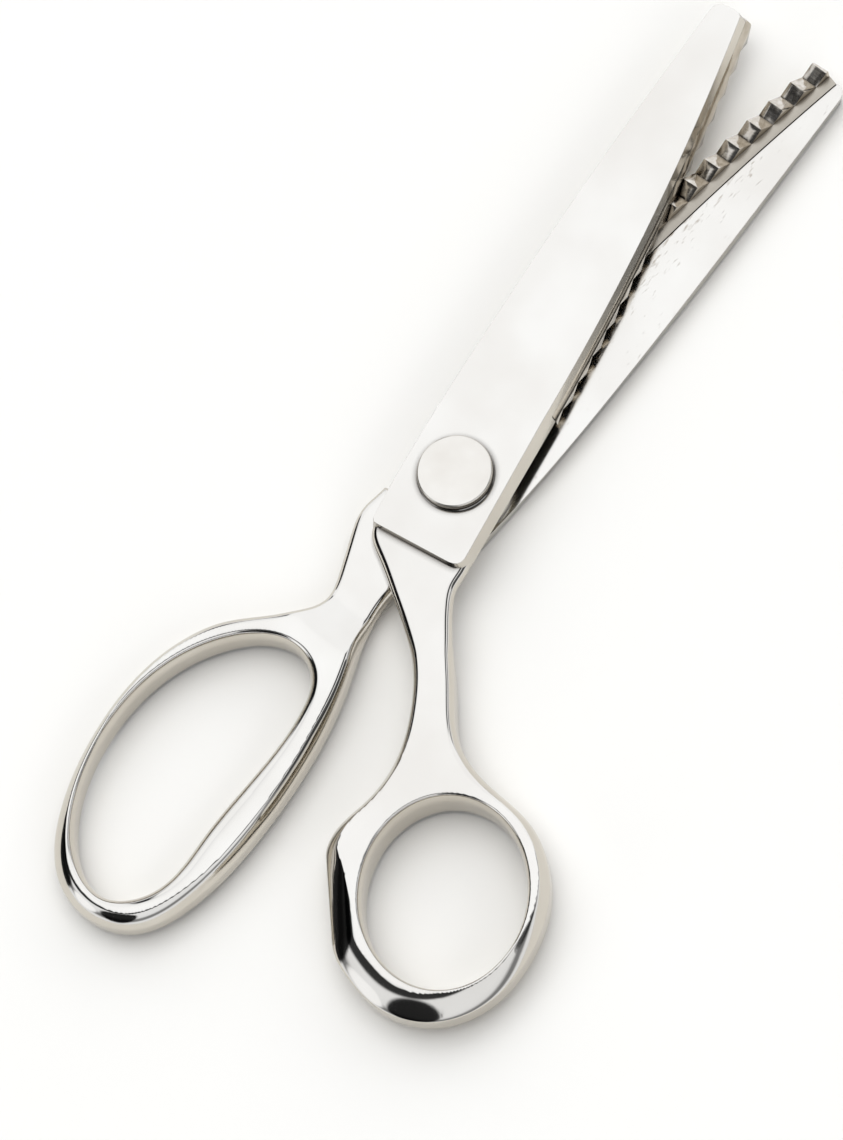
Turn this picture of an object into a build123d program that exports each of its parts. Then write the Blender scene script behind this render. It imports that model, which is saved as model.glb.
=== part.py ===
"""Pinking shears: two forged halves with toothed inserts, turning on a shouldered pivot screw.

The shears lie flat with the pivot axis along +Z and the blades pointing along +X. The origin is on
the pivot axis, in the plane that the shears rest on. Each half is drawn in its own plane, which
starts at the mating plane between the blades and faces away from the other half.
"""
import os
from math import cos, radians, sin

from build123d import *

os.makedirs("parts", exist_ok=True)

# Stack along the pivot axis
MATING_Z = 5.2              # height of the plane between the two blades
BLADE_FACE = 5.2            # outer face of a blade, out from the mating plane
INNER_FACE = 1.45           # hollow-ground inner face, out from the mating plane
BOSS_FACE = 0.15            # raised face round the pivot, out from the mating plane
REST_OPENING = 7.0          # angle of the upper half above the closed position of the edges

# Teeth
TOOTH_PITCH = 5.25
TOOTH_DEPTH = 2.3
TOOTH_GAP = 0.25            # free height between the two nested rows
FIRST_VALLEY_R = 15.0       # radius of the valley of the lower row that is next to the pivot
TOOTH_COUNT = 17
TOOTH_LENGTH = 3.3          # length of a tooth across the blade
STRIP_WIDTH = 5.3           # toothed insert, from cutting edge to seam
STRIP_LEDGE = 1.3           # ledge beside the teeth, out from the mating plane
STRIP_SEAT = 3.2            # floor of the insert's seat, out from the mating plane
STRIP_START_X = 18.5
PAST_TIP_X = 108.0          # beyond the tips, for cuts that run the whole length of a blade
PAST_EDGE_Y = -14.0         # beyond the cutting edge

# Handles
STEP_X = -15.0              # where the thick blade steps down to the shank
SHANK_FACE = 3.7            # outer face of the shank at the step
SHANK_LEVEL_X = -50.0       # where the shank's face reaches the full height of its ring
CROSSING_R = 29.5           # radius inside which the shanks pass over each other
SHOULDER_RUN = 3.0          # length of the sloping shoulder outside that radius
HANDLE_ROOT_X = -8.0        # inner end of a shank, buried in the blade
PAST_RING_X = -110.0        # beyond the rings
HALF_SPAN = 60.0            # more than any handle reaches to the side of the centreline
THUMB_FACE, THUMB_BACK = 5.0, -4.9
BOW_FACE, BOW_BACK = 5.2, -3.2
RIM_FACET = (1.1, 2.4)      # outer facet of the handles: across the face, and down the side
HOLE_FACET = 0.6            # softened edge of the finger holes

# Pivot
HEAD_R, HEAD_FACE, HEAD_TOP = 6.85, 10.8, 12.3
HEAD_CHAMFER = 0.3
SHOULDER_R = 3.5
THREAD_R = 2.8
RUNNING_CLEARANCE = 0.05
SEAT_CLEARANCE = 0.03
BOSS_R = 9.6
SPRING_WASHER = (7.1, 10.45, 10.75)     # outer radius, bottom and top
THRUST_WASHER = (9.0, 5.05, 5.3)
LOCK_WASHER = (5.6, 1.95, 2.3)
LOCK_SLOT = 0.6             # split in the lock washer
NUT_R, NUT_BOTTOM, NUT_TOP = 5.8, 0.0, 1.9
NUT_SLOT = 1.2
NUT_POCKET_R = 6.0
NUT_POCKET_DEPTH = 2.35

lower_side = Plane(origin=(0, 0, MATING_Z), x_dir=(1, 0, 0), z_dir=(0, 0, -1))
open_x = (cos(radians(REST_OPENING)), sin(radians(REST_OPENING)), 0)
upper_side = Plane(origin=(0, 0, MATING_Z), x_dir=open_x, z_dir=(0, 0, 1))


def blade_inner_outline(plane):
    """Blade outline at the mating plane: cutting edge, flank, heel, spine and the two sides of the tip."""
    with BuildSketch(plane) as sketch:
        with BuildLine():
            ThreePointArc((101.9, 0.6), (64, -5.1), (16, -9.3))
            Line((16, -9.3), (-14.8, -10.9))
            Line((-14.8, -10.9), (-16.4, 9.0))
            Spline((-16.4, 9.0), (4, 10.5), (28, 10.9), (64, 9.9), (101.0, 8.3))
            Line((101.0, 8.3), (102.1, 4.2))
            Line((102.1, 4.2), (101.9, 0.6))
        make_face()
    return sketch.sketch


def blade_outer_outline(plane):
    """Blade outline at its outer face, narrower by the bevel along the cutting edge."""
    with BuildSketch(plane) as sketch:
        with BuildLine():
            ThreePointArc((101.3, 2.1), (69.5, -3.4), (16, -8.2))
            Line((16, -8.2), (-13.6, -10.2))
            Line((-13.6, -10.2), (-15.0, 8.5))
            Spline((-15.0, 8.5), (4, 9.7), (30, 10.0), (64, 9.4), (100.6, 7.6))
            Line((100.6, 7.6), (102.0, 4.4))
            Line((102.0, 4.4), (101.3, 2.1))
        make_face()
    return sketch.sketch


def blade_blank(plane):
    """Whole blade before the inner face and the insert's seat are cut."""
    with BuildPart() as blank:
        loft([blade_inner_outline(plane.offset(INNER_FACE)), blade_outer_outline(plane.offset(BLADE_FACE))],
             ruled=True)
        extrude(blade_inner_outline(plane.offset(INNER_FACE)), amount=-INNER_FACE - TOOTH_DEPTH)
    return blank.part


def strip_zone(plane, width):
    """Band along the cutting edge, as wide as given, from the start of the teeth past the tip."""
    with BuildSketch(plane) as sketch:
        with BuildLine():
            ThreePointArc((PAST_TIP_X, 1.8 + width), (64, -5.1 + width), (STRIP_START_X, -9.1 + width))
            Line((STRIP_START_X, -9.1 + width), (STRIP_START_X, PAST_EDGE_Y))
            Line((STRIP_START_X, PAST_EDGE_Y), (PAST_TIP_X, PAST_EDGE_Y))
            Line((PAST_TIP_X, PAST_EDGE_Y), (PAST_TIP_X, 1.8 + width))
        make_face()
    return sketch.sketch


def tooth_valleys(plane, first_valley_r):
    """Ring-shaped V grooves about the pivot that leave one row of teeth."""
    crest = TOOTH_DEPTH / 2 - TOOTH_GAP / 2
    floor = -TOOTH_DEPTH / 2 - TOOTH_GAP / 2
    section = Plane(origin=plane.origin, x_dir=plane.x_dir, z_dir=plane.y_dir)
    side = section.to_local_coords(plane.origin + plane.z_dir).Y
    with BuildPart() as valleys:
        with BuildSketch(section):
            for number in range(TOOTH_COUNT):
                r = first_valley_r + number * TOOTH_PITCH
                with BuildLine():
                    Polyline(
                        (r - TOOTH_PITCH / 2, -side * crest),
                        (r, -side * floor),
                        (r + TOOTH_PITCH / 2, -side * crest),
                        (r + TOOTH_PITCH / 2, -side * (crest + 1)),
                        (r - TOOTH_PITCH / 2, -side * (crest + 1)),
                        close=True,
                    )
                make_face()
        revolve(axis=Axis(plane.origin, plane.z_dir), revolution_arc=360)
    return valleys.part


def space_beside_teeth(plane):
    """Space above the insert's ledge, between the inner ends of the teeth and the seam."""
    top = plane.offset(STRIP_LEDGE)
    with BuildPart() as space:
        extrude(strip_zone(top, STRIP_WIDTH + 1), amount=-STRIP_LEDGE - TOOTH_DEPTH)
        extrude(strip_zone(top, TOOTH_LENGTH), amount=-STRIP_LEDGE - TOOTH_DEPTH, mode=Mode.SUBTRACT)
    return space.part


def tooth_strip(plane, first_valley_r):
    """Toothed insert that fits the seat along a blade's cutting edge."""
    crest = TOOTH_DEPTH / 2 - TOOTH_GAP / 2
    with BuildPart() as strip:
        add(blade_blank(plane))
        extrude(strip_zone(plane.offset(-crest), STRIP_WIDTH), amount=crest + STRIP_SEAT,
                mode=Mode.INTERSECT)
        add(space_beside_teeth(plane), mode=Mode.SUBTRACT)
        add(tooth_valleys(plane, first_valley_r), mode=Mode.SUBTRACT)
    return strip.part


def inset_curve(points, tangents, inset):
    """Curve through points moved to the right of the way it runs; closed if it has no end tangents."""
    ends = {"tangents": tangents} if tangents else {"periodic": True}
    curve = Spline(*points, mode=Mode.PRIVATE, **ends)
    moved = []
    for point in points:
        along = curve.tangent_at(Vector(*point))
        moved.append((point[0] + inset * along.Y, point[1] - inset * along.X))
    return Spline(*moved, **ends)


def thumb_outline(plane, inset=0.0):
    """Shank and thumb ring of the upper half, with the flat stop that meets the finger bow."""
    stop_way = (1, 0.74)
    right_side = [(-8, -10.2), (-14.8, -10.8), (-17.7, -10.9), (-21.0, -12.2), (-33.7, -20.6),
                  (-42.0, -27.0), (-45.6, -34.5), (-48.2, -45.5), (-56.8, -55.2), (-68.5, -58.4), (-79.8, -56.6),
                  (-87.9, -49.6), (-90.2, -41.0), (-88.4, -33.2), (-84.0, -26.6)]
    left_side = [(-71.6, -17.4), (-66.5, -16.2), (-59.5, -17.9), (-50.0, -18.5), (-40.5, -15.6),
                 (-32.6, -10.6), (-24.4, -1.5), (-19.7, 4.4), (-16.4, 8.1), (-8, 9.2)]
    with BuildSketch(plane) as sketch:
        with BuildLine():
            right = inset_curve(right_side, [(-1, 0), stop_way], inset)
            left = inset_curve(left_side, [stop_way, (1, 0.2)], inset)
            Line(right @ 1, left @ 0)
            Line(left @ 1, right @ 0)
        make_face()
    return sketch.sketch


def thumb_hole(plane, growth=0.0):
    """Oval opening of the thumb ring."""
    with BuildSketch(plane) as sketch:
        with Locations((-67.0, -39.7)):
            Ellipse(17.3 + growth, 14.6 + growth, rotation=28)
    return sketch.sketch


def bow_outline(plane, inset=0.0):
    """Shank and long finger bow of the lower half."""
    points = [(-8, -11.2), (-13.7, -11.8), (-20.0, -9.9), (-25.4, -7.6), (-31.0, -6.1), (-37.5, -9.2),
              (-46.2, -17.7), (-59.1, -23.1), (-73.6, -23.3), (-90.0, -18.8), (-100.0, -11.4),
              (-103.0, -3.0), (-100.0, 6.2), (-89.5, 11.6), (-70.8, 13.0), (-54.5, 11.3), (-40.9, 7.6),
              (-28.6, 3.5), (-20.0, 3.6), (-8, 8.8)]
    with BuildSketch(plane) as sketch:
        with BuildLine():
            rim = inset_curve(points, [(-1, 0), (1, 0.5)], inset)
            Line(rim @ 1, rim @ 0)
        make_face()
    return sketch.sketch


def bow_hole(plane, growth=0.0):
    """Long opening of the finger bow."""
    points = [(-42.3, -3.0), (-43.8, -9.0), (-48.6, -14.4), (-60.0, -20.0), (-73.0, -20.9),
              (-86.0, -17.5), (-95.7, -9.8), (-98.3, -1.4), (-92.5, 4.8), (-79.0, 5.6), (-62.0, 5.6),
              (-50.5, 4.6), (-44.5, 1.9)]
    with BuildSketch(plane) as sketch:
        with BuildLine():
            inset_curve(points, None, -growth)
        make_face()
    return sketch.sketch


def handle_profile(plane, face, back):
    """Side view of a handle: low at the step beside the blade, full height along the ring."""
    section = Plane(origin=plane.origin - HALF_SPAN * plane.y_dir, x_dir=plane.x_dir, z_dir=plane.y_dir)
    side = section.to_local_coords(plane.origin + plane.z_dir).Y
    with BuildSketch(section) as sketch:
        with BuildLine():
            Polyline(
                (HANDLE_ROOT_X, side * back),
                (PAST_RING_X, side * back),
                (PAST_RING_X, side * face),
                (SHANK_LEVEL_X, side * face),
                (STEP_X, side * SHANK_FACE),
                (HANDLE_ROOT_X, side * SHANK_FACE),
                close=True,
            )
        make_face()
    return sketch.sketch


def crossing_relief(plane, back):
    """Space round the pivot that the other half needs, with a sloping shoulder at its rim."""
    with BuildPart() as relief:
        with BuildSketch(plane.offset(BOSS_FACE)):
            Circle(CROSSING_R)
        with BuildSketch(plane.offset(back - 1)):
            Circle(CROSSING_R + SHOULDER_RUN)
        loft()
    return relief.part


def handle(plane, outline, hole, face, back):
    """Shank and ring with a facet round the rim, softened finger hole and the pivot crossing cut away."""
    across, down = RIM_FACET
    with BuildPart() as body:
        extrude(outline(plane.offset(back + down)), amount=face - back - 2 * down)
        loft([outline(plane.offset(face - down)), outline(plane.offset(face), across)], ruled=True)
        loft([outline(plane.offset(back + down)), outline(plane.offset(back), across)], ruled=True)
        extrude(handle_profile(plane, face, back), amount=2 * HALF_SPAN, mode=Mode.INTERSECT)
        extrude(hole(plane.offset(back)), amount=face - back, mode=Mode.SUBTRACT)
        loft([hole(plane.offset(face - HOLE_FACET)), hole(plane.offset(face), HOLE_FACET)], ruled=True,
             mode=Mode.SUBTRACT)
        loft([hole(plane.offset(back + HOLE_FACET)), hole(plane.offset(back), HOLE_FACET)], ruled=True,
             mode=Mode.SUBTRACT)
        add(crossing_relief(plane, back), mode=Mode.SUBTRACT)
    return body.part


def blade(plane):
    """Blade body with its hollow-ground inner face, the boss round the pivot and the insert's seat."""
    with BuildPart() as body:
        add(blade_blank(plane))
        with BuildSketch(plane.offset(INNER_FACE)):
            Rectangle(2 * PAST_TIP_X, HALF_SPAN)
            Circle(BOSS_R, mode=Mode.SUBTRACT)
        extrude(amount=-INNER_FACE - TOOTH_DEPTH, mode=Mode.SUBTRACT)
        with BuildSketch(plane.offset(BOSS_FACE)):
            Circle(BOSS_R + 1)
        extrude(amount=-BOSS_FACE - TOOTH_DEPTH, mode=Mode.SUBTRACT)
        extrude(strip_zone(plane.offset(INNER_FACE - 1), STRIP_WIDTH), amount=STRIP_SEAT - INNER_FACE + 1,
                mode=Mode.SUBTRACT)
    return body.part


def ring(outer_r, inner_r, bottom, top):
    """Flat washer about the pivot axis."""
    with BuildSketch(Plane.XY.offset(bottom)) as section:
        Circle(outer_r)
        Circle(inner_r, mode=Mode.SUBTRACT)
    with BuildPart() as washer:
        extrude(section.sketch, amount=top - bottom)
    return washer.part


# Upper half: blade, thumb ring, and the bore that turns on the screw's shoulder
with BuildPart() as upper_half:
    add(blade(upper_side))
    add(handle(upper_side, thumb_outline, thumb_hole, THUMB_FACE, THUMB_BACK))
    with Locations(upper_side):
        Hole(SHOULDER_R + RUNNING_CLEARANCE)

# Lower half: blade, finger bow, threaded bore and the pocket for the nut
with BuildPart() as lower_half:
    add(blade(lower_side))
    add(handle(lower_side, bow_outline, bow_hole, BOW_FACE, BOW_BACK))
    with Locations(lower_side):
        Hole(THREAD_R + SEAT_CLEARANCE)
    with BuildSketch(Plane.XY):
        Circle(NUT_POCKET_R)
    extrude(amount=NUT_POCKET_DEPTH, mode=Mode.SUBTRACT)

# Toothed inserts
with BuildPart() as upper_teeth:
    add(tooth_strip(upper_side, FIRST_VALLEY_R + TOOTH_PITCH / 2))
with BuildPart() as lower_teeth:
    add(tooth_strip(lower_side, FIRST_VALLEY_R))

# Pivot screw: wide flat head, plain shoulder, threaded end
with BuildPart() as screw:
    with BuildSketch(Plane.XZ):
        with BuildLine():
            Polyline(
                (0, NUT_BOTTOM),
                (THREAD_R, NUT_BOTTOM),
                (THREAD_R, MATING_Z - BOSS_FACE),
                (SHOULDER_R, MATING_Z - BOSS_FACE),
                (SHOULDER_R, HEAD_FACE),
                (HEAD_R, HEAD_FACE),
                (HEAD_R, HEAD_TOP - HEAD_CHAMFER),
                (HEAD_R - HEAD_CHAMFER, HEAD_TOP),
                (0, HEAD_TOP),
                close=True,
            )
        make_face()
    revolve(axis=Axis.Z)

# Washers and nut
with BuildPart() as spring_washer:
    add(ring(SPRING_WASHER[0], SHOULDER_R + RUNNING_CLEARANCE, *SPRING_WASHER[1:]))
with BuildPart() as thrust_washer:
    add(ring(THRUST_WASHER[0], SHOULDER_R + RUNNING_CLEARANCE, *THRUST_WASHER[1:]))
with BuildPart() as lock_washer:
    add(ring(LOCK_WASHER[0], THREAD_R + RUNNING_CLEARANCE, *LOCK_WASHER[1:]))
    with Locations((LOCK_WASHER[0], 0, LOCK_WASHER[1])):
        Box(2 * LOCK_WASHER[0], LOCK_SLOT, 2 * LOCK_WASHER[0], mode=Mode.SUBTRACT)
with BuildPart() as nut:
    add(ring(NUT_R, THREAD_R + SEAT_CLEARANCE, NUT_BOTTOM, NUT_TOP))
    with Locations((0, 0, NUT_BOTTOM)):
        Box(3 * NUT_R, NUT_SLOT, NUT_SLOT, mode=Mode.SUBTRACT)

pieces = {
    "upper_blade_and_thumb_ring": upper_half,
    "lower_blade_and_finger_bow": lower_half,
    "upper_tooth_strip": upper_teeth,
    "lower_tooth_strip": lower_teeth,
    "pivot_screw": screw,
    "spring_washer": spring_washer,
    "thrust_washer": thrust_washer,
    "lock_washer": lock_washer,
    "pivot_nut": nut,
}
for name, piece in pieces.items():
    piece.part.label = name
    export_step(piece.part, f"parts/{name}.step")
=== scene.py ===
"""Looks of the pinking shears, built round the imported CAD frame.

Lengths inside the shape functions are in millimetres, in the local frame of each half: x along the
blade, y towards the spine, w outward from the mating plane between the blades.
"""
import math

import bmesh
import bpy
import numpy as np
from mathutils import Matrix, Vector, kdtree


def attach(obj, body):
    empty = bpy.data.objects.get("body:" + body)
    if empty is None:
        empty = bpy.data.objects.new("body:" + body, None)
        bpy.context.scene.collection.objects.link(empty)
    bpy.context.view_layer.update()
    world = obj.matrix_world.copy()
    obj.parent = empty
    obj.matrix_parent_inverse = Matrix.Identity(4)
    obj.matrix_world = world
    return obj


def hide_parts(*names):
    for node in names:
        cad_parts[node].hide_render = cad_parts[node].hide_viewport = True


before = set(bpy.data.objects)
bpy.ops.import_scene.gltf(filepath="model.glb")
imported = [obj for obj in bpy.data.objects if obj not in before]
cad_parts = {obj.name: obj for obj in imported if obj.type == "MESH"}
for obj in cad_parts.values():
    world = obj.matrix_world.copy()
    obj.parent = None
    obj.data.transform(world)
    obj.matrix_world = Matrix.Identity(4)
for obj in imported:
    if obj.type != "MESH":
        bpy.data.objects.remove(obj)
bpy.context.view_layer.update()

MM = 0.001

# Both halves
MATING_Z = 5.2              # height of the plane between the two blades
REST_OPENING = math.radians(7.0)

# Blades
BLADE_FACE = 5.2            # outer face of a blade, out from the mating plane
INNER_FACE = 1.45           # hollow-ground inner face
BOSS_FACE = 0.15            # raised face round the pivot
BOSS_R = 9.6
UPPER_BORE_R, LOWER_BORE_R = 3.55, 2.83
BLADE_BEVEL = 0.22
PAST_TIP_X = 108.0          # beyond the tips, for cuts that run the whole length of a blade
PAST_EDGE_Y = -16.0         # beyond the cutting edge

# Toothed inserts
STRIP_WIDTH = 5.3
STRIP_SEAT = 3.2            # floor of the insert's seat
STRIP_LEDGE = 1.3           # ledge beside the teeth
STRIP_START_X = 18.5
SEAM_GAP = 0.14             # between the insert and the blade
CREST_WEAR = 0.12           # what wear has taken off the crests of the teeth
STRIP_BEVEL = 0.08

# Handles
STEP_X = -15.0              # where the thick blade steps down to the shank
SHANK_FACE = 3.7
SHANK_LEVEL_X = -50.0       # where the shank's face reaches the full height of its ring
CROSSING_R = 29.2           # radius inside which the shanks pass over each other
SHOULDER_RUN = 10.0         # length of the sloping shoulder outside that radius
CRISP_FROM_X, CRISP_RUN = -40.0, 14.0   # where the round shank turns into the faceted ring
VOXEL = 0.42

# Pivot screw and spring washer: radii, and heights above the rest plane
THREAD_R, SHOULDER_R = 2.8, 3.5
HEAD_R, HEAD_FACE, HEAD_TOP = 6.85, 10.8, 12.3
HEAD_ROUND_BELOW, HEAD_ROUND_ABOVE = 0.25, 0.35
SPRING_R, SPRING_BOTTOM, SPRING_TOP = 7.1, 10.45, 10.75


# ---------------------------------------------------------------- curves

def spline(points, tangents=None, step=0.5):
    """Cubic curve through the points, clamped to unit end tangents, or closed if there are none."""
    p = np.array(points, float)
    closed = tangents is None
    if closed:
        p = np.vstack([p, p[:1]])
    h = np.linalg.norm(np.diff(p, axis=0), axis=1)
    n = len(p)
    a = np.zeros((n, n))
    b = np.zeros((n, 2))
    for i in range(1, n - 1):
        a[i, i - 1], a[i, i], a[i, i + 1] = h[i], 2 * (h[i - 1] + h[i]), h[i - 1]
        b[i] = 3 * (h[i] * (p[i] - p[i - 1]) / h[i - 1] + h[i - 1] * (p[i + 1] - p[i]) / h[i])
    if closed:
        a[0, -2], a[0, 0], a[0, 1] = h[0], 2 * (h[-1] + h[0]), h[-1]
        b[0] = 3 * (h[0] * (p[0] - p[-2]) / h[-1] + h[-1] * (p[1] - p[0]) / h[0])
        a[-1, 0], a[-1, -1] = 1, -1
    else:
        a[0, 0] = a[-1, -1] = 1
        for row, tangent in ((0, tangents[0]), (-1, tangents[1])):
            b[row] = np.array(tangent) / np.linalg.norm(tangent)
    d = np.linalg.solve(a, b)
    out = []
    for i in range(n - 1):
        count = max(2, int(round(h[i] / step)))
        t = np.linspace(0, 1, count, endpoint=False)[:, None]
        out.append((2 * t**3 - 3 * t**2 + 1) * p[i] + (t**3 - 2 * t**2 + t) * h[i] * d[i]
                   + (3 * t**2 - 2 * t**3) * p[i + 1] + (t**3 - t**2) * h[i] * d[i + 1])
    if not closed:
        out.append(p[-1:])
    return np.vstack(out)


def arc(a, m, b, count):
    """Circular arc through three points."""
    (ax, ay), (bx, by), (cx, cy) = a, m, b
    d = 2 * (ax * (by - cy) + bx * (cy - ay) + cx * (ay - by))
    ux = ((ax**2 + ay**2) * (by - cy) + (bx**2 + by**2) * (cy - ay) + (cx**2 + cy**2) * (ay - by)) / d
    uy = ((ax**2 + ay**2) * (cx - bx) + (bx**2 + by**2) * (ax - cx) + (cx**2 + cy**2) * (bx - ax)) / d
    r = math.hypot(ax - ux, ay - uy)
    t0 = math.atan2(ay - uy, ax - ux)
    t1 = math.atan2(cy - uy, cx - ux)
    t1 = t0 + (t1 - t0 + math.pi) % (2 * math.pi) - math.pi
    t = np.linspace(t0, t1, count)
    return np.stack([ux + r * np.cos(t), uy + r * np.sin(t)], 1)


def corner(before, at, after, radius, count=7):
    """Rounded corner: a smooth bend that starts and ends this far from the corner."""
    at = np.array(at, float)
    way_in = (np.array(before) - at) / np.linalg.norm(np.array(before) - at)
    way_out = (np.array(after) - at) / np.linalg.norm(np.array(after) - at)
    t = np.linspace(0, 1, count)[:, None]
    return (1 - t)**2 * (at + way_in * radius) + 2 * t * (1 - t) * at + t**2 * (at + way_out * radius)


def evenly_spaced(points, step=None, count=None):
    """The closed outline with points a step apart, or with so many points."""
    p = np.vstack([points, points[:1]])
    keep = np.concatenate([[True], np.linalg.norm(np.diff(p, axis=0), axis=1) > 1e-6])
    p = p[keep]
    s = np.concatenate([[0], np.cumsum(np.linalg.norm(np.diff(p, axis=0), axis=1))])
    t = np.linspace(0, s[-1], count or int(s[-1] / step), endpoint=False)
    return np.stack([np.interp(t, s, p[:, 0]), np.interp(t, s, p[:, 1])], 1)


def disc(r, count=96):
    """Circle about the pivot."""
    t = np.linspace(0, 2 * math.pi, count, endpoint=False)
    return np.stack([r * np.cos(t), r * np.sin(t)], 1)


def smoothstep(t):
    """Soft step from 0 to 1 as t goes from 0 to 1."""
    t = np.clip(t, 0, 1)
    return t * t * (3 - 2 * t)


class Rim:
    """Distance to a closed outline, positive on the side where the metal is."""

    STEP = 0.06             # between the stored points
    REACH = 3               # points on each side that give the direction

    def __init__(self, points, metal_inside):
        p = evenly_spaced(points, step=self.STEP)
        after = np.roll(p, -self.REACH, 0) - np.roll(p, self.REACH, 0)
        tangent = after / np.linalg.norm(after, axis=1)[:, None]
        area = 0.5 * np.sum(p[:, 0] * np.roll(p[:, 1], -1) - p[:, 1] * np.roll(p[:, 0], -1))
        side = (1 if area > 0 else -1) * (1 if metal_inside else -1)
        self.points = p
        self.normals = np.stack([-tangent[:, 1], tangent[:, 0]], 1) * side
        self.tree = kdtree.KDTree(len(p))
        for i, (x, y) in enumerate(p):
            self.tree.insert((x, y, 0), i)
        self.tree.balance()

    def nearest(self, xy):
        find = self.tree.find
        return np.array([find((x, y, 0))[1] for x, y in xy.tolist()])

    def distance(self, xy, index):
        return np.sum((xy - self.points[index]) * self.normals[index], 1)


# ---------------------------------------------------------------- meshes

def new_object(name, bm):
    """Object with the mesh of a bmesh, which is freed."""
    mesh = bpy.data.meshes.new(name)
    bm.to_mesh(mesh)
    bm.free()
    obj = bpy.data.objects.new(name, mesh)
    bpy.context.scene.collection.objects.link(obj)
    return obj


def half_to_world(turn):
    """From the local frame of a half, in millimetres, to the frame of the CAD, in metres."""
    return Matrix.Scale(MM, 4) @ Matrix.Translation((0, 0, MATING_Z)) @ turn


UPPER_TO_WORLD = half_to_world(Matrix.Rotation(REST_OPENING, 4, "Z"))
LOWER_TO_WORLD = half_to_world(Matrix.Rotation(math.pi, 4, "X"))


def applied(obj):
    """The object with its modifiers made real."""
    dg = bpy.context.evaluated_depsgraph_get()
    mesh = bpy.data.meshes.new_from_object(obj.evaluated_get(dg))
    obj.modifiers.clear()
    old = obj.data
    obj.data = mesh
    bpy.data.meshes.remove(old)
    return obj


def smooth_shade(obj):
    """Shades every face of the object smooth."""
    obj.data.polygons.foreach_set("use_smooth", [True] * len(obj.data.polygons))


def ease_edges(obj, width, segments, angle):
    """Bevel on the edges that are sharper than the angle, with the faces shaded smooth."""
    bevel = obj.modifiers.new("bevel", "BEVEL")
    bevel.width = width * MM
    bevel.segments = segments
    bevel.limit_method = "ANGLE"
    bevel.angle_limit = math.radians(angle)
    bevel.harden_normals = True
    smooth_shade(obj)


def fill(outer, hole):
    """Flat face between an outline and its hole, cut across so that it can bend."""
    bm = bmesh.new()
    edges = []
    for loop in (outer, hole):
        verts = [bm.verts.new((x, y, 0)) for x, y in loop]
        edges += [bm.edges.new((verts[i - 1], verts[i])) for i in range(len(verts))]
    bmesh.ops.triangle_fill(bm, edges=edges, use_beauty=True)
    for x in np.arange(-110, 0, 1.0):
        geom = bm.verts[:] + bm.edges[:] + bm.faces[:]
        bmesh.ops.bisect_plane(bm, geom=geom, plane_co=(x + 0.01, 0, 0), plane_no=(1, 0, 0))
    return bm


def handle_levels(face, back):
    """Law for the heights of a handle's top and bottom at points of its plan."""
    def levels(xy):
        slope = np.clip((STEP_X - xy[:, 0]) / (STEP_X - SHANK_LEVEL_X), 0, 1)
        top = SHANK_FACE + (face - SHANK_FACE) * slope
        r = np.hypot(xy[:, 0], xy[:, 1])
        bottom = BOSS_FACE + (back - BOSS_FACE) * smoothstep((r - CROSSING_R) / SHOULDER_RUN)
        return top, bottom
    return levels


def handle_blank(name, outer, hole, levels):
    """Square-edged handle between its outlines and levels, in small even faces."""
    bm = fill(evenly_spaced(outer, step=1.0), evenly_spaced(hole, step=1.0))
    raised = bmesh.ops.extrude_face_region(bm, geom=bm.faces[:])["geom"]
    tops = {v for v in raised if isinstance(v, bmesh.types.BMVert)}
    bm.verts.ensure_lookup_table()
    top, bottom = levels(np.array([v.co[:2] for v in bm.verts]))
    for v, t, b in zip(bm.verts, top, bottom):
        v.co.z = t if v in tops else b
    bmesh.ops.recalc_face_normals(bm, faces=bm.faces[:])
    obj = new_object(name, bm)
    remesh = obj.modifiers.new("remesh", "REMESH")
    remesh.mode = "VOXEL"
    remesh.voxel_size = VOXEL
    return applied(obj)


def rounding_law(rim, edge, levels, out_width, hole_width, drop, crispness):
    """Law that is zero on a handle's rounded surface, given the rims' nearest points.

    The widths say how far the rounding reaches in from the rim and from the hole's edge, and the
    drop how far down. A crispness of 2 gives an ellipse, and less gives a flatter facet.
    """
    def law(p, i, j):
        xy, w = p[:, :2], p[:, 2]
        a, c = out_width(xy), hole_width(xy)
        top, bottom = levels(xy)
        half = (top - bottom) / 2
        b = np.minimum(drop, half * 0.98)
        e = np.maximum(0, 1 - rim.distance(xy, i) / a)
        g = np.maximum(0, 1 - edge.distance(xy, j) / c)
        k = np.maximum(0, (np.abs(w - (top + bottom) / 2) - (half - b)) / b)
        power = 2 - (2 - crispness) * smoothstep((CRISP_FROM_X - xy[:, 0]) / CRISP_RUN)
        return (e**power + k**power) ** (2 / power) + g**2 - 1
    return law


def gradient(law, p, i, j, f, probe=1e-4):
    """Slope of the law along each axis, where f is its value."""
    g = np.zeros_like(p)
    for axis in range(3):
        q = p.copy()
        q[:, axis] += probe
        g[:, axis] = (law(q, i, j) - f) / probe
    return g


def settled(p, pairs, law, rim, edge):
    """Points moved onto the surface where the law is zero, spread evenly in the first turns."""
    turns, smoothing, share, longest_move = 9, range(1, 6), 0.6, 0.6
    degree = np.bincount(pairs.ravel(), minlength=len(p))[:, None]
    for turn in range(turns):
        if turn in smoothing:
            total = np.zeros_like(p)
            np.add.at(total, pairs[:, 0], p[pairs[:, 1]])
            np.add.at(total, pairs[:, 1], p[pairs[:, 0]])
            p = (1 - share) * p + share * total / degree
        i, j = rim.nearest(p[:, :2]), edge.nearest(p[:, :2])
        for _ in range(3):
            f = law(p, i, j)
            g = gradient(law, p, i, j, f)
            move = -f[:, None] * g / np.maximum(np.sum(g**2, 1), 1e-3)[:, None]
            size = np.linalg.norm(move, axis=1)[:, None]
            p = p + move * np.minimum(1, longest_move / np.maximum(size, 1e-9))
    return p


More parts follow.
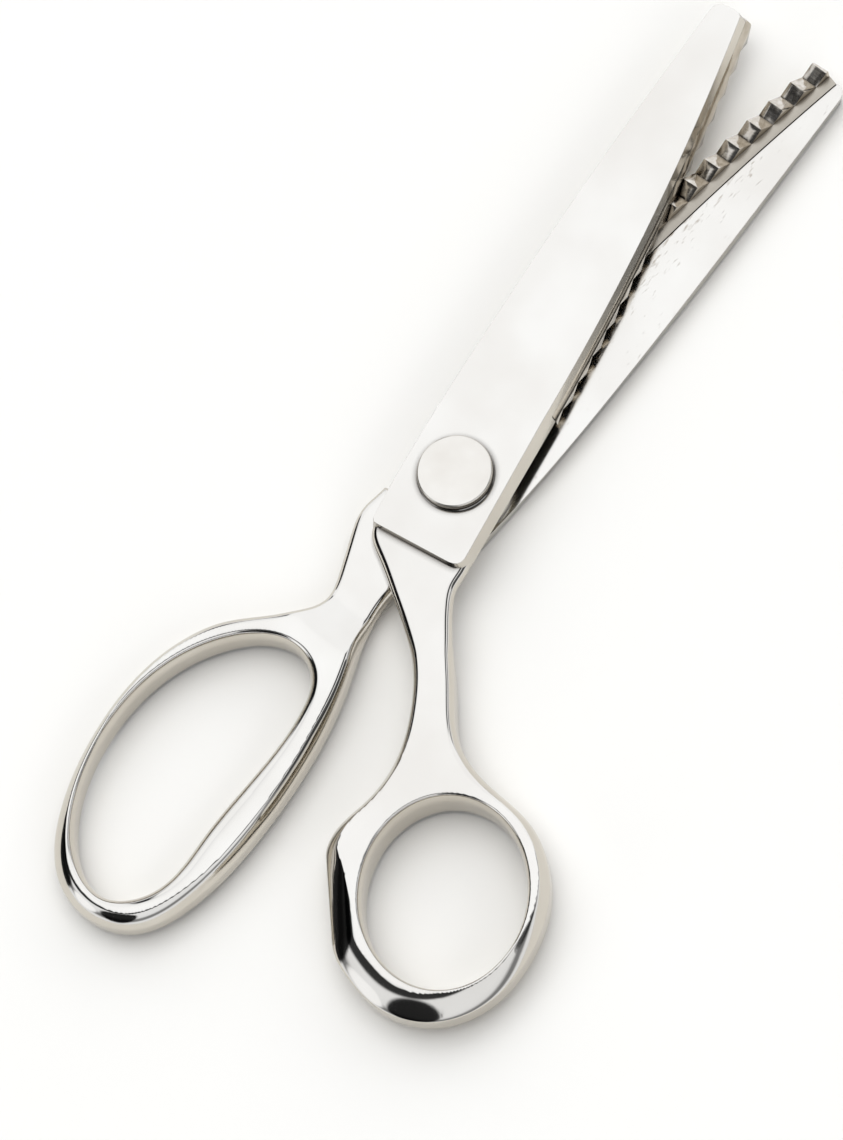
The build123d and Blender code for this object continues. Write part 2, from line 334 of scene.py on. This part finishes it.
def forged_handle(name, outer, hole, face, back, out_width, hole_width, drop, crispness, to_world):
    """Shank and ring with rounded sides, as the surface where the rounding law is zero."""
    levels = handle_levels(face, back)
    obj = handle_blank(name, outer, hole, levels)
    rim, edge = Rim(outer, True), Rim(hole, False)
    law = rounding_law(rim, edge, levels, out_width, hole_width, drop, crispness)
    mesh = obj.data
    p = np.zeros(len(mesh.vertices) * 3)
    mesh.vertices.foreach_get("co", p)
    pairs = np.zeros(len(mesh.edges) * 2, int)
    mesh.edges.foreach_get("vertices", pairs)
    p = settled(p.reshape(-1, 3), pairs.reshape(-1, 2), law, rim, edge)
    i, j = rim.nearest(p[:, :2]), edge.nearest(p[:, :2])
    normals = gradient(law, p, i, j, law(p, i, j))
    normals /= np.maximum(np.linalg.norm(normals, axis=1), 1e-9)[:, None]
    mesh.vertices.foreach_set("co", p.ravel())
    mesh.update()
    smooth_shade(obj)
    mesh.transform(to_world)
    turned = normals @ np.array(to_world.to_3x3().normalized()).T
    mesh.normals_split_custom_set_from_vertices(turned.tolist())
    return obj


def blade_outlines():
    """Outlines of a blade at its outer face and at its inner face, point for point.

    Each runs along the cutting edge to the tip, round the tip, back along the spine and round the heel.
    """
    outer = np.vstack([
        arc((16, -8.2), (69.5, -3.4), (101.3, 2.1), 70)[:-1],
        corner((69.5, -3.4), (101.3, 2.1), (102.0, 4.4), 0.4),
        corner((101.3, 2.1), (102.0, 4.9), (100.6, 7.6), 1.4),
        corner((102.0, 4.9), (101.2, 7.6), (64, 9.4), 1.7),
        spline([(99.0, 7.72), (64, 9.4), (30, 10.0), (4, 9.75), (-15.0, 8.6)],
               [(-1, 0.045), (-1, -0.1)], 1.5)[1:-4],
        corner((4, 9.75), (-15.0, 8.6), (-13.6, -10.2), 0.9),
        corner((-15.0, 8.5), (-14.7, -10.1), (16, -8.2), 2.4),
    ])
    inner = np.vstack([
        arc((16, -9.3), (64, -5.1), (101.9, 0.6), 70)[:-1],
        corner((64, -5.1), (101.9, 0.6), (102.1, 4.2), 0.4),
        corner((101.9, 0.6), (102.2, 5.2), (101.0, 8.3), 1.4),
        corner((102.2, 5.2), (101.4, 8.3), (64, 9.9), 1.5),
        spline([(99.4, 8.4), (64, 9.9), (28, 10.9), (4, 10.55), (-15.5, 9.0)],
               [(-1, 0.045), (-1, -0.1)], 1.5)[1:-4],
        corner((4, 10.55), (-15.5, 9.0), (-15.2, -10.9), 0.9),
        corner((-15.5, 9.0), (-15.4, -10.8), (16, -9.3), 2.8),
    ])
    count = 320
    return evenly_spaced(outer, count=count), evenly_spaced(inner, count=count)


def prism(bottom, top, low, high):
    """Closed solid between two outlines with the same number of points."""
    bm = bmesh.new()
    a = [bm.verts.new((x, y, low)) for x, y in bottom]
    b = [bm.verts.new((x, y, high)) for x, y in top]
    bm.faces.new(a[::-1])
    bm.faces.new(b)
    for i in range(len(a)):
        bm.faces.new((a[i - 1], a[i], b[i], b[i - 1]))
    bmesh.ops.recalc_face_normals(bm, faces=bm.faces[:])
    return bm


def strip_seat():
    """Outline of the zone along the cutting edge that the toothed insert takes up, with its seam."""
    width = STRIP_WIDTH + SEAM_GAP
    start_x = STRIP_START_X - SEAM_GAP
    curve = arc((STRIP_START_X, -9.1 + width), (64, -5.1 + width), (PAST_TIP_X, 1.8 + width), 120)
    curve[0, 0] = start_x
    return np.vstack([curve, [(PAST_TIP_X, PAST_EDGE_Y), (start_x, PAST_EDGE_Y)]])


def cut(obj, tool, operation):
    """Boolean of obj with tool, which is removed, and normals made to point outward again."""
    modifier = obj.modifiers.new("cut", "BOOLEAN")
    modifier.operation = operation
    modifier.solver = "EXACT"
    modifier.object = tool
    applied(obj)
    bpy.data.objects.remove(tool)
    bm = bmesh.new()
    bm.from_mesh(obj.data)
    bmesh.ops.remove_doubles(bm, verts=bm.verts[:], dist=1e-5)
    bmesh.ops.recalc_face_normals(bm, faces=bm.faces[:])
    bm.to_mesh(obj.data)
    bm.free()


def blade(name, bore, to_world):
    """Blade body with its bevelled sides, the seat of the toothed insert, the boss and the bore."""
    outer, inner = blade_outlines()
    obj = new_object(name, prism(inner, outer, INNER_FACE, BLADE_FACE))
    seat, boss, hole = strip_seat(), disc(BOSS_R), disc(bore)   # tools that run past the faces they cut
    cut(obj, new_object("seat", prism(seat, seat, INNER_FACE - 1, STRIP_SEAT)), "DIFFERENCE")
    cut(obj, new_object("boss", prism(boss, boss, BOSS_FACE, INNER_FACE + 0.5)), "UNION")
    cut(obj, new_object("bore", prism(hole, hole, -1, 8)), "DIFFERENCE")
    obj.data.transform(to_world)
    ease_edges(obj, BLADE_BEVEL, 3, 28)
    return obj


def lathe(name, profile, count=144):
    """Turned piece about the pivot axis from (radius, height) points in millimetres."""
    bm = bmesh.new()
    rows = []
    for r, z in profile:
        if r == 0:
            rows.append([bm.verts.new((0, 0, z * MM))] * count)
        else:
            rows.append([bm.verts.new((x * MM, y * MM, z * MM)) for x, y in disc(r, count)])
    closed = profile[0][0] != 0
    spans = list(zip(rows, rows[1:])) + ([(rows[-1], rows[0])] if closed else [])
    for low, high in spans:
        for i in range(count):
            ring = [low[i - 1], low[i], high[i], high[i - 1]]
            ring = [v for k, v in enumerate(ring) if v not in ring[:k]]
            bm.faces.new(ring)
    bmesh.ops.recalc_face_normals(bm, faces=bm.faces[:])
    obj = new_object(name, bm)
    smooth_shade(obj)
    obj.data.set_sharp_from_angle(angle=math.radians(35))
    return obj


def fillet(r0, z0, r1, z1, centre, steps):
    """Quarter round between two points of a profile, about a centre."""
    cr, cz = centre
    a0, a1 = math.atan2(z0 - cz, r0 - cr), math.atan2(z1 - cz, r1 - cr)
    radius = math.hypot(r0 - cr, z0 - cz)
    return [(cr + radius * math.cos(a), cz + radius * math.sin(a)) for a in np.linspace(a0, a1, steps)]


def ground_strip(cad, name, to_world):
    """Copy of a toothed insert with worn crests, the blade's rounded tip and eased edges."""
    bm = bmesh.new()
    bm.from_mesh(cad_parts[cad].data)
    bm.transform(to_world.inverted())
    bmesh.ops.remove_doubles(bm, verts=bm.verts[:], dist=1e-3)
    bmesh.ops.dissolve_limit(bm, angle_limit=math.radians(0.1), verts=bm.verts[:], edges=bm.edges[:])
    for v in bm.verts:
        if v.co.z < 0:
            v.co.z += CREST_WEAR
    obj = new_object(name, bm)
    beyond = np.vstack([    # everything past the rounded tip
        corner((64, -5.1), (101.9, 0.6), (102.1, 4.2), 0.4),
        corner((101.9, 0.6), (102.2, 5.2), (101.0, 8.3), 1.4),
        [(101.2, 12), (110, 12), (110, -6), (101.7, -6)],
    ])
    cut(obj, new_object("beyond", prism(beyond, beyond, -4, 6)), "DIFFERENCE")
    obj.data.transform(to_world)
    ease_edges(obj, STRIP_BEVEL, 2, 25)
    return obj


# ---------------------------------------------------------------- materials

def metal(name, build):
    """Metal whose colour, roughness and bumps the build function draws with nodes."""
    mat = bpy.data.materials.new(name)
    mat.use_nodes = True
    shader = mat.node_tree.nodes["Principled BSDF"]
    shader.inputs["Metallic"].default_value = 1.0
    build(mat.node_tree, shader)
    return mat


def node(tree, kind, **values):
    """New node with values for its inputs or its own settings."""
    made = tree.nodes.new(kind)
    for key, value in values.items():
        if key in made.inputs:
            made.inputs[key].default_value = value
        else:
            setattr(made, key, value)
    return made


def noise(tree, coords, scale, detail, stretch=None):
    """Noise pattern, stretched by a scale for each axis after a turn about Z."""
    source = coords
    if stretch:
        mapping = tree.nodes.new("ShaderNodeMapping")
        mapping.inputs["Scale"].default_value = stretch[0]
        mapping.inputs["Rotation"].default_value = (0, 0, stretch[1])
        tree.links.new(coords, mapping.inputs["Vector"])
        source = mapping.outputs[0]
    tex = tree.nodes.new("ShaderNodeTexNoise")
    tex.inputs["Scale"].default_value = scale
    tex.inputs["Detail"].default_value = detail
    tree.links.new(source, tex.inputs["Vector"])
    return tex.outputs["Fac"]


def ramp(tree, fac, low, high, colours=None):
    """Blend from the first colour at low to the second at high: black to white if none are given."""
    made = tree.nodes.new("ShaderNodeValToRGB")
    made.color_ramp.elements[0].position = low
    made.color_ramp.elements[1].position = high
    if colours:
        for element, colour in zip(made.color_ramp.elements, colours):
            element.color = (*colour, 1)
    tree.links.new(fac, made.inputs[0])
    return made.outputs[0]


def span(tree, fac, low, high):
    """Maps 0..1 to low..high."""
    made = tree.nodes.new("ShaderNodeMapRange")
    made.inputs["To Min"].default_value = low
    made.inputs["To Max"].default_value = high
    tree.links.new(fac, made.inputs["Value"])
    return made.outputs[0]


def blended(tree, kind, first, second):
    """The two colours in full, combined in this way."""
    mix = node(tree, "ShaderNodeMixRGB", blend_type=kind)
    mix.inputs[0].default_value = 1.0
    tree.links.new(first, mix.inputs[1])
    tree.links.new(second, mix.inputs[2])
    return mix.outputs[0]


def corner_shaded(tree, colour, reach, low, high, shade_colour):
    """The colour with painted shade where other metal is close: darker by ambient occlusion."""
    near = node(tree, "ShaderNodeAmbientOcclusion", samples=6)
    near.inputs["Distance"].default_value = reach
    darkening = ramp(tree, near.outputs["AO"], low, high, [shade_colour, (1, 1, 1)])
    return blended(tree, "MULTIPLY", colour, darkening)


def stained_and_shaded(tree, coords, colour, amount):
    """The colour with brown specks and rubbed streaks, and a painted dark reflection that grows towards the
    lower half's cutting edge.
    """
    place = tree.nodes.new("ShaderNodeSeparateXYZ")
    tree.links.new(coords, place.inputs[0])
    # painted dark reflection: the colour darkens towards the cutting edge
    edge_shade = tree.nodes.new("ShaderNodeMapRange")
    edge_shade.inputs["From Min"].default_value = -6 * MM
    edge_shade.inputs["From Max"].default_value = 5 * MM
    edge_shade.inputs["To Max"].default_value = amount
    tree.links.new(place.outputs["Y"], edge_shade.inputs["Value"])
    specks = noise(tree, coords, 1500, 10, ((0.3, 1.0, 1.0), 0.1))
    total = node(tree, "ShaderNodeMath", operation="ADD")
    tree.links.new(specks, total.inputs[0])
    tree.links.new(edge_shade.outputs[0], total.inputs[1])
    darkening = ramp(tree, total.outputs[0], 0.66, 0.92, [(1, 1, 1), (0.40, 0.34, 0.27)])
    return blended(tree, "MULTIPLY", colour, darkening)


def plated(wave, wave_depth, scratch, rough, stain_and_shade=0.0, reach=0.0014):
    """Polished nickel plate: faint waviness, hair scratches, warm and cool patches, painted shade in corners.
    """
    def build(tree, shader):
        link = tree.links.new
        coords = tree.nodes.new("ShaderNodeTexCoord").outputs["Object"]
        patches = noise(tree, coords, 60, 3)
        colour = ramp(tree, patches, 0.3, 0.7, [(0.595, 0.555, 0.49), (0.65, 0.615, 0.55)])
        # brown specks, and a painted dark reflection towards the cutting edge
        if stain_and_shade:
            colour = stained_and_shaded(tree, coords, colour, stain_and_shade)
        # painted shade where other metal is close, in the last colour
        link(corner_shaded(tree, colour, reach, 0.45, 0.92, (0.05, 0.035, 0.025)), shader.inputs["Base Color"])
        smears = noise(tree, coords, 240, 5)
        link(span(tree, smears, rough[0], rough[1]), shader.inputs["Roughness"])
        low = noise(tree, coords, wave, 2)
        bump = node(tree, "ShaderNodeBump", Strength=wave_depth, Distance=0.0004)
        link(low, bump.inputs["Height"])
        lines = noise(tree, coords, 900, 2, ((1.0, 0.02, 1.0), math.radians(25)))
        lines = ramp(tree, lines, 0.62, 0.72)
        fine = node(tree, "ShaderNodeBump", Strength=scratch, Distance=0.00002)
        link(lines, fine.inputs["Height"])
        link(bump.outputs[0], fine.inputs["Normal"])
        link(fine.outputs[0], shader.inputs["Normal"])
    return build


def ground(tree, shader):
    """Ground tool steel: fine grinding lines across the teeth, brown patches of old oil and painted shade
    where other metal is close.
    """
    link = tree.links.new
    coords = tree.nodes.new("ShaderNodeTexCoord").outputs["Object"]
    patches = noise(tree, coords, 900, 5, ((0.4, 1.0, 1.0), 0.1))
    colour = ramp(tree, patches, 0.25, 0.70, [(0.40, 0.35, 0.28), (0.60, 0.55, 0.475)])
    lines = noise(tree, coords, 2600, 3, ((1.0, 0.04, 1.0), 0.1))
    place = tree.nodes.new("ShaderNodeSeparateXYZ")
    link(coords, place.inputs[0])
    ledges = node(tree, "ShaderNodeMath", operation="ADD")
    for socket, side in zip(ledges.inputs, (-1, 1)):
        ledge = node(tree, "ShaderNodeMath", operation="COMPARE")
        ledge.inputs[1].default_value = (MATING_Z + side * STRIP_LEDGE) * MM
        ledge.inputs[2].default_value = 0.00001
        link(place.outputs["Z"], ledge.inputs[0])
        link(ledge.outputs[0], socket)
    dull = node(tree, "ShaderNodeMixRGB", blend_type="MIX")
    dull.inputs[2].default_value = (0.42, 0.375, 0.305, 1)
    link(ledges.outputs[0], dull.inputs[0])
    link(colour, dull.inputs[1])
    # painted shade where other metal is close, in the last colour
    link(corner_shaded(tree, dull.outputs[0], 0.0013, 0.35, 0.85, (0.13, 0.10, 0.07)), shader.inputs["Base Color"])
    finish = node(tree, "ShaderNodeMath", operation="MULTIPLY_ADD")
    finish.inputs[1].default_value = 0.25
    link(ledges.outputs[0], finish.inputs[0])
    link(span(tree, lines, 0.10, 0.20), finish.inputs[2])
    link(finish.outputs[0], shader.inputs["Roughness"])
    bump = node(tree, "ShaderNodeBump", Strength=0.25, Distance=0.00003)
    link(lines, bump.inputs["Height"])
    link(bump.outputs[0], shader.inputs["Normal"])


def turned(colour_low, colour_high, strength):
    """Turned metal: faint grain and painted shade in the corners."""
    def build(tree, shader):
        link = tree.links.new
        coords = tree.nodes.new("ShaderNodeTexCoord").outputs["Object"]
        patches = noise(tree, coords, 150, 4)
        colour = ramp(tree, patches, 0.35, 0.65, [colour_low, colour_high])
        # painted shade where other metal is close, in the last colour
        link(corner_shaded(tree, colour, 0.0016, 0.45, 0.85, (0.14, 0.11, 0.08)), shader.inputs["Base Color"])
        grain = noise(tree, coords, 1100, 4, ((1.0, 0.08, 1.0), math.radians(60)))
        link(span(tree, grain, 0.10, 0.20), shader.inputs["Roughness"])
        bump = node(tree, "ShaderNodeBump", Strength=strength, Distance=0.00001)
        link(grain, bump.inputs["Height"])
        link(bump.outputs[0], shader.inputs["Normal"])
    return build


handle_nickel = metal("handle_nickel", plated(wave=28, wave_depth=0.09, scratch=0.05, rough=(0.05, 0.10)))
blade_nickel = metal("blade_nickel", plated(wave=18, wave_depth=0.03, scratch=0.10, rough=(0.09, 0.16)))
# the lower blade's nickel also carries a painted dark reflection towards its cutting edge
inner_nickel = metal("blade_nickel_stained_and_shaded", plated(wave=18, wave_depth=0.05, scratch=0.25,
                                                    rough=(0.09, 0.18), stain_and_shade=0.27, reach=0.0006))
tooth_steel = metal("tooth_steel", ground)
screw_metal = metal("screw_metal", turned((0.585, 0.54, 0.47), (0.625, 0.585, 0.515), 0.1))
# dark steel: painted shade for the gap under the screw's head
washer_steel = metal("washer_steel", turned((0.30, 0.28, 0.25), (0.42, 0.40, 0.36), 0.3))
bronze = metal("bronze_shim", turned((0.60, 0.42, 0.22), (0.76, 0.56, 0.33), 0.3))


def coat(obj, mat):
    """Gives the object this material alone."""
    obj.data.materials.clear()
    obj.data.materials.append(mat)


# ---------------------------------------------------------------- outlines of the handles

# The same outlines as in the CAD. The thumb ring's straight stop joins its two curves.
STOP_WAY = (1, 0.74)
thumb_right = spline([(-8, -10.2), (-14.8, -10.8), (-17.7, -10.9), (-21.0, -12.2), (-33.7, -20.6),
                      (-42.0, -27.0), (-45.6, -34.5), (-48.2, -45.5), (-56.8, -55.2), (-68.5, -58.4),
                      (-79.8, -56.6), (-87.9, -49.6), (-90.2, -41.0), (-88.4, -33.2), (-84.0, -26.6)],
                     [(-1, 0), STOP_WAY])
thumb_left = spline([(-71.6, -17.4), (-66.5, -16.2), (-59.5, -17.9), (-50.0, -18.5), (-40.5, -15.6),
                     (-32.6, -10.6), (-24.4, -1.5), (-19.7, 4.4), (-16.4, 8.1), (-8, 9.2)],
                    [STOP_WAY, (1, 0.2)])
thumb_outer = np.vstack([thumb_right, thumb_left])
bow_outer = spline([(-8, -11.2), (-13.7, -11.8), (-20.0, -9.9), (-25.4, -7.6), (-31.0, -6.1), (-37.5, -9.2),
                    (-46.2, -17.7), (-59.1, -23.1), (-73.6, -23.3), (-90.0, -18.8), (-100.0, -11.4),
                    (-103.0, -3.0), (-100.0, 6.2), (-89.5, 11.6), (-70.8, 13.0), (-54.5, 11.3),
                    (-40.9, 7.6), (-28.6, 3.5), (-20.0, 3.6), (-8, 8.8)], [(-1, 0), (1, 0.5)])
bow_inner = spline([(-42.3, -3.0), (-43.8, -9.0), (-48.6, -14.4), (-60.0, -20.0), (-73.0, -20.9),
                    (-86.0, -17.5), (-95.7, -9.8), (-98.3, -1.4), (-92.5, 4.8), (-79.0, 5.6),
                    (-62.0, 5.6), (-50.5, 4.6), (-44.5, 1.9)])
THUMB_CENTRE, THUMB_HOLE_TURN = (-67.0, -39.7), math.radians(28)
THUMB_HOLE_HALF_LENGTH, THUMB_HOLE_HALF_WIDTH = 17.3, 14.6
BOW_CENTRE = (-72.0, -4.0)


def oval(centre, half_length, half_width, turn, count=240):
    """Ellipse about a centre, with its length turned from the x axis."""
    t = np.linspace(0, 2 * math.pi, count, endpoint=False)
    long, short = half_length * np.cos(t), half_width * np.sin(t)
    return np.stack([centre[0] + long * math.cos(turn) - short * math.sin(turn),
                     centre[1] + long * math.sin(turn) + short * math.cos(turn)], 1)


thumb_inner = oval(THUMB_CENTRE, THUMB_HOLE_HALF_LENGTH, THUMB_HOLE_HALF_WIDTH, THUMB_HOLE_TURN)


def width_law(centre, table, shank_x, shank_width):
    """Width of a rounded edge by its bearing in degrees from a ring's centre, and one along the shank."""
    angles = np.radians([a for a, _ in table])
    widths = np.array([w for _, w in table], float)

    def width(xy):
        bearing = np.arctan2(xy[:, 1] - centre[1], xy[:, 0] - centre[0])
        ring = np.interp(bearing, angles, widths, period=2 * math.pi)
        t = smoothstep((xy[:, 0] - shank_x) / 8 + 0.5)
        return ring * (1 - t) + shank_width * t
    return width


thumb_out_width = width_law(
    THUMB_CENTRE, [(-149, 4.7), (-124, 3.9), (-100, 2.8), (-73, 2.0), (-36, 1.5), (0, 1.6), (20, 2.0),
                   (47, 1.6), (80, 1.7), (97, 2.5), (109, 3.7), (126, 4.3), (168, 4.8)], -42, 1.6)
thumb_hole_width = width_law(THUMB_CENTRE, [(0, 1.0)], -40, 1.0)
bow_out_width = width_law(
    BOW_CENTRE, [(-150, 2.9), (-120, 2.3), (-90, 1.6), (-50, 1.6), (0, 2.0), (50, 1.8), (90, 1.7), (130, 1.9),
                 (160, 2.5), (180, 3.0)], -38, 1.6)
bow_hole_width = width_law(
    BOW_CENTRE, [(-150, 1.3), (-120, 1.2), (-90, 1.2), (-50, 1.2), (0, 1.4), (40, 3.4), (70, 5.0), (110, 5.0),
                 (140, 4.0), (165, 2.2), (180, 1.4)], -30, 1.5)


# ---------------------------------------------------------------- pieces

thumb = forged_handle("thumb_ring_and_shank", thumb_outer, thumb_inner, face=5.0, back=-4.9,
                      out_width=thumb_out_width, hole_width=thumb_hole_width, drop=3.1, crispness=1.2,
                      to_world=UPPER_TO_WORLD)
bow = forged_handle("finger_bow_and_shank", bow_outer, bow_inner, face=5.2, back=-3.2,
                    out_width=bow_out_width, hole_width=bow_hole_width, drop=3.0, crispness=1.4,
                    to_world=LOWER_TO_WORLD)
upper_blade = blade("upper_blade", UPPER_BORE_R, UPPER_TO_WORLD)
lower_blade = blade("lower_blade", LOWER_BORE_R, LOWER_TO_WORLD)
for piece, body, cad in ((thumb, "upper", "upper_blade_and_thumb_ring"),
                         (upper_blade, "upper", "upper_blade_and_thumb_ring"),
                         (bow, "lower", "lower_blade_and_finger_bow"),
                         (lower_blade, "lower", "lower_blade_and_finger_bow")):
    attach(piece, body)
    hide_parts(cad)
coat(thumb, handle_nickel)
coat(bow, handle_nickel)
coat(upper_blade, blade_nickel)
coat(lower_blade, inner_nickel)

low_rim, high_rim = HEAD_R - HEAD_ROUND_BELOW, HEAD_R - HEAD_ROUND_ABOVE
low_round, high_round = HEAD_FACE + HEAD_ROUND_BELOW, HEAD_TOP - HEAD_ROUND_ABOVE
head = lathe("pivot_screw_turned", [
    (0, 0), (THREAD_R, 0), (THREAD_R, MATING_Z - BOSS_FACE), (SHOULDER_R, MATING_Z - BOSS_FACE),
    (SHOULDER_R, HEAD_FACE), (low_rim, HEAD_FACE),
    *fillet(low_rim, HEAD_FACE, HEAD_R, low_round, (low_rim, low_round), 4),
    *fillet(HEAD_R, high_round, high_rim, HEAD_TOP, (high_rim, high_round), 7),
    (6.2, HEAD_TOP), (4.0, HEAD_TOP), (0, HEAD_TOP)])    # rings that keep the flat top's shading even
spring = lathe("spring_washer_formed", [
    (UPPER_BORE_R, SPRING_BOTTOM), (SPRING_R - 0.1, SPRING_BOTTOM), (SPRING_R, SPRING_BOTTOM + 0.07),
    (SPRING_R, SPRING_TOP - 0.09), (SPRING_R - 0.1, SPRING_TOP), (UPPER_BORE_R, SPRING_TOP)])
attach(head, "lower")
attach(spring, "lower")
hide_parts("pivot_screw")
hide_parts("spring_washer")
coat(head, screw_metal)
coat(spring, washer_steel)
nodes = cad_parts
for cad, body, to_world in (("upper_tooth_strip", "upper", UPPER_TO_WORLD),
                            ("lower_tooth_strip", "lower", LOWER_TO_WORLD)):
    strip = ground_strip(cad, cad + "_ground", to_world)
    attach(strip, body)
    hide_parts(cad)
    coat(strip, tooth_steel)
for name, mat in (("thrust_washer", bronze), ("lock_washer", washer_steel), ("pivot_nut", screw_metal)):
    coat(nodes[name], mat)

# ---------------------------------------------------------------- stage

FLOOR_REACH, FLOOR_DROP = 6, 0.0002     # metres from the middle to a side, and below the shears
bm = bmesh.new()
bmesh.ops.create_grid(bm, x_segments=1, y_segments=1, size=FLOOR_REACH)
floor = new_object("floor", bm)
floor.location.z = -FLOOR_DROP
paper = bpy.data.materials.new("paper")
paper.use_nodes = True
paper.node_tree.nodes["Principled BSDF"].inputs["Base Color"].default_value = (0.93, 0.89, 0.81, 1)
paper.node_tree.nodes["Principled BSDF"].inputs["Roughness"].default_value = 0.9
coat(floor, paper)

# Camera: leans away from the pivot axis, with the closed blades pointing up to the right
LEAN, LEAN_TOWARD, ROLL = math.radians(21.5), math.radians(67.0), math.radians(52.0)
CAMERA_RANGE = 1200.0                   # mm along the view, to the middle of the screw's head
LENS, SENSOR = 212.21, 36.0             # mm, with the sensor's width along the picture's height
HEAD_ON_SENSOR = (1.039, 3.139)         # mm right of and above the middle, where the head's middle falls
axis_in_view = Vector((-math.sin(LEAN) * math.cos(LEAN_TOWARD), math.sin(LEAN) * math.sin(LEAN_TOWARD),
                       math.cos(LEAN)))
lean = Vector((0, 0, 1)).rotation_difference(axis_in_view).to_matrix()
view_from_frame = lean @ Matrix.Rotation(ROLL, 3, "Z")
ray = Vector((HEAD_ON_SENSOR[0] / LENS, HEAD_ON_SENSOR[1] / LENS, -1)) * CAMERA_RANGE
offset = ray - view_from_frame @ Vector((0, 0, HEAD_TOP))
camera = bpy.data.objects.new("camera", bpy.data.cameras.new("camera"))
bpy.context.scene.collection.objects.link(camera)
camera.data.sensor_width = SENSOR
camera.data.lens = LENS
camera.data.clip_start, camera.data.clip_end = 0.05, 20
camera.matrix_world = Matrix.Translation(-(view_from_frame.transposed() @ offset) * MM) \
    @ view_from_frame.transposed().to_4x4()
bpy.context.scene.camera = camera

# World: a large soft source round the direction that the flat faces mirror, inside a thin dark ring
# that draws the crest lines, and dim low down. Cards add light and screens take it away, each given by
# its azimuth, elevation, half width and level. The camera itself sees plain white.
CARD_FADE, SCREEN_FADE = 4, 3           # degrees over which their edges soften
CARDS = ((20, 25, 34, 0.95), (79, 22, 16, 0.95), (156, 16, 15, 0.95))
SCREENS = ((113, 8, 27, 0.02), (195, 26, 23, 0.02), (298, 24, 15, 0.10))
SKY_TINT = (0.92, 0.967, 1.06)
SKY_STRENGTH = 1.6
world = bpy.data.worlds.new("studio")
bpy.context.scene.world = world
world.use_nodes = True
wt = world.node_tree
to_camera = view_from_frame.transposed() @ Vector((0, 0, 1))
sky = wt.nodes.new("ShaderNodeTexCoord")


def sky_ramp(direction, stops):
    """Brightness of the sky by the angle from a direction, from stops of degrees and level."""
    dot = wt.nodes.new("ShaderNodeVectorMath")
    dot.operation = "DOT_PRODUCT"
    dot.inputs[1].default_value = direction
    wt.links.new(sky.outputs["Generated"], dot.inputs[0])
    bands = wt.nodes.new("ShaderNodeValToRGB")
    elements = bands.color_ramp.elements
    while len(elements) < len(stops):
        elements.new(0.5)
    for element, (degrees, level) in zip(elements, stops):
        element.position = max(0.0, math.cos(math.radians(degrees)))
        element.color = (level, level, level, 1)
    wt.links.new(dot.outputs["Value"], bands.inputs[0])
    return bands.outputs[0]


def direction(azimuth, elevation):
    """Unit vector at these angles in degrees, with azimuth from +X towards +Y."""
    a, e = math.radians(azimuth), math.radians(elevation)
    return math.cos(a) * math.cos(e), math.sin(a) * math.cos(e), math.sin(e)


main_light = sky_ramp((-to_camera.x, -to_camera.y, to_camera.z), [
    (90, 0.8), (59, 0.8), (56, 0.03), (42, 0.03), (38, 0.8), (30, 0.92), (20, 0.98), (0, 1.0)])
horizon = sky_ramp((0, 0, 1), [
    (90, 0.95), (84, 0.95), (80, 0.25), (74, 0.25), (68, 0.95), (60, 1.0), (0, 1.0)])
light = blended(wt, "MULTIPLY", main_light, horizon)
for azimuth, elevation, half_width, level in CARDS:
    card = sky_ramp(direction(azimuth, elevation),
                    [(half_width, 0.0), (half_width - CARD_FADE, level), (0, level)])
    light = blended(wt, "LIGHTEN", light, card)
for azimuth, elevation, half_width, level in SCREENS:
    screen = sky_ramp(direction(azimuth, elevation),
                      [(half_width, 1.0), (half_width - SCREEN_FADE, level), (0, level)])
    light = blended(wt, "MULTIPLY", light, screen)
tint = wt.nodes.new("ShaderNodeMixRGB")
tint.blend_type = "MULTIPLY"
tint.inputs[0].default_value = 1.0
tint.inputs[2].default_value = (*SKY_TINT, 1)
wt.links.new(light, tint.inputs[1])
seen = wt.nodes.new("ShaderNodeLightPath")
plain = wt.nodes.new("ShaderNodeMixRGB")
plain.inputs[2].default_value = (1, 1, 1, 1)
wt.links.new(seen.outputs["Is Camera Ray"], plain.inputs[0])
wt.links.new(tint.outputs[0], plain.inputs[1])
wt.links.new(plain.outputs[0], wt.nodes["Background"].inputs["Color"])
wt.nodes["Background"].inputs["Strength"].default_value = SKY_STRENGTH


def softbox(name, place, size, power):
    """Rectangular lamp that faces the origin and isn't mirrored in the metal."""
    lamp = bpy.data.lights.new(name, "AREA")
    lamp.shape = "RECTANGLE"
    lamp.size, lamp.size_y = size
    lamp.energy = power
    obj = bpy.data.objects.new(name, lamp)
    obj.location = place
    obj.rotation_mode = "QUATERNION"
    obj.rotation_quaternion = (-Vector(place)).to_track_quat("-Z", "Y")
    obj.visible_glossy = False
    bpy.context.scene.collection.objects.link(obj)


softbox("overhead", (0.1, 0.25, 1.4), (1.3, 1.3), 5.5)
view_settings = bpy.context.scene.view_settings
view_settings.view_transform = "Standard"
view_settings.look = "None"
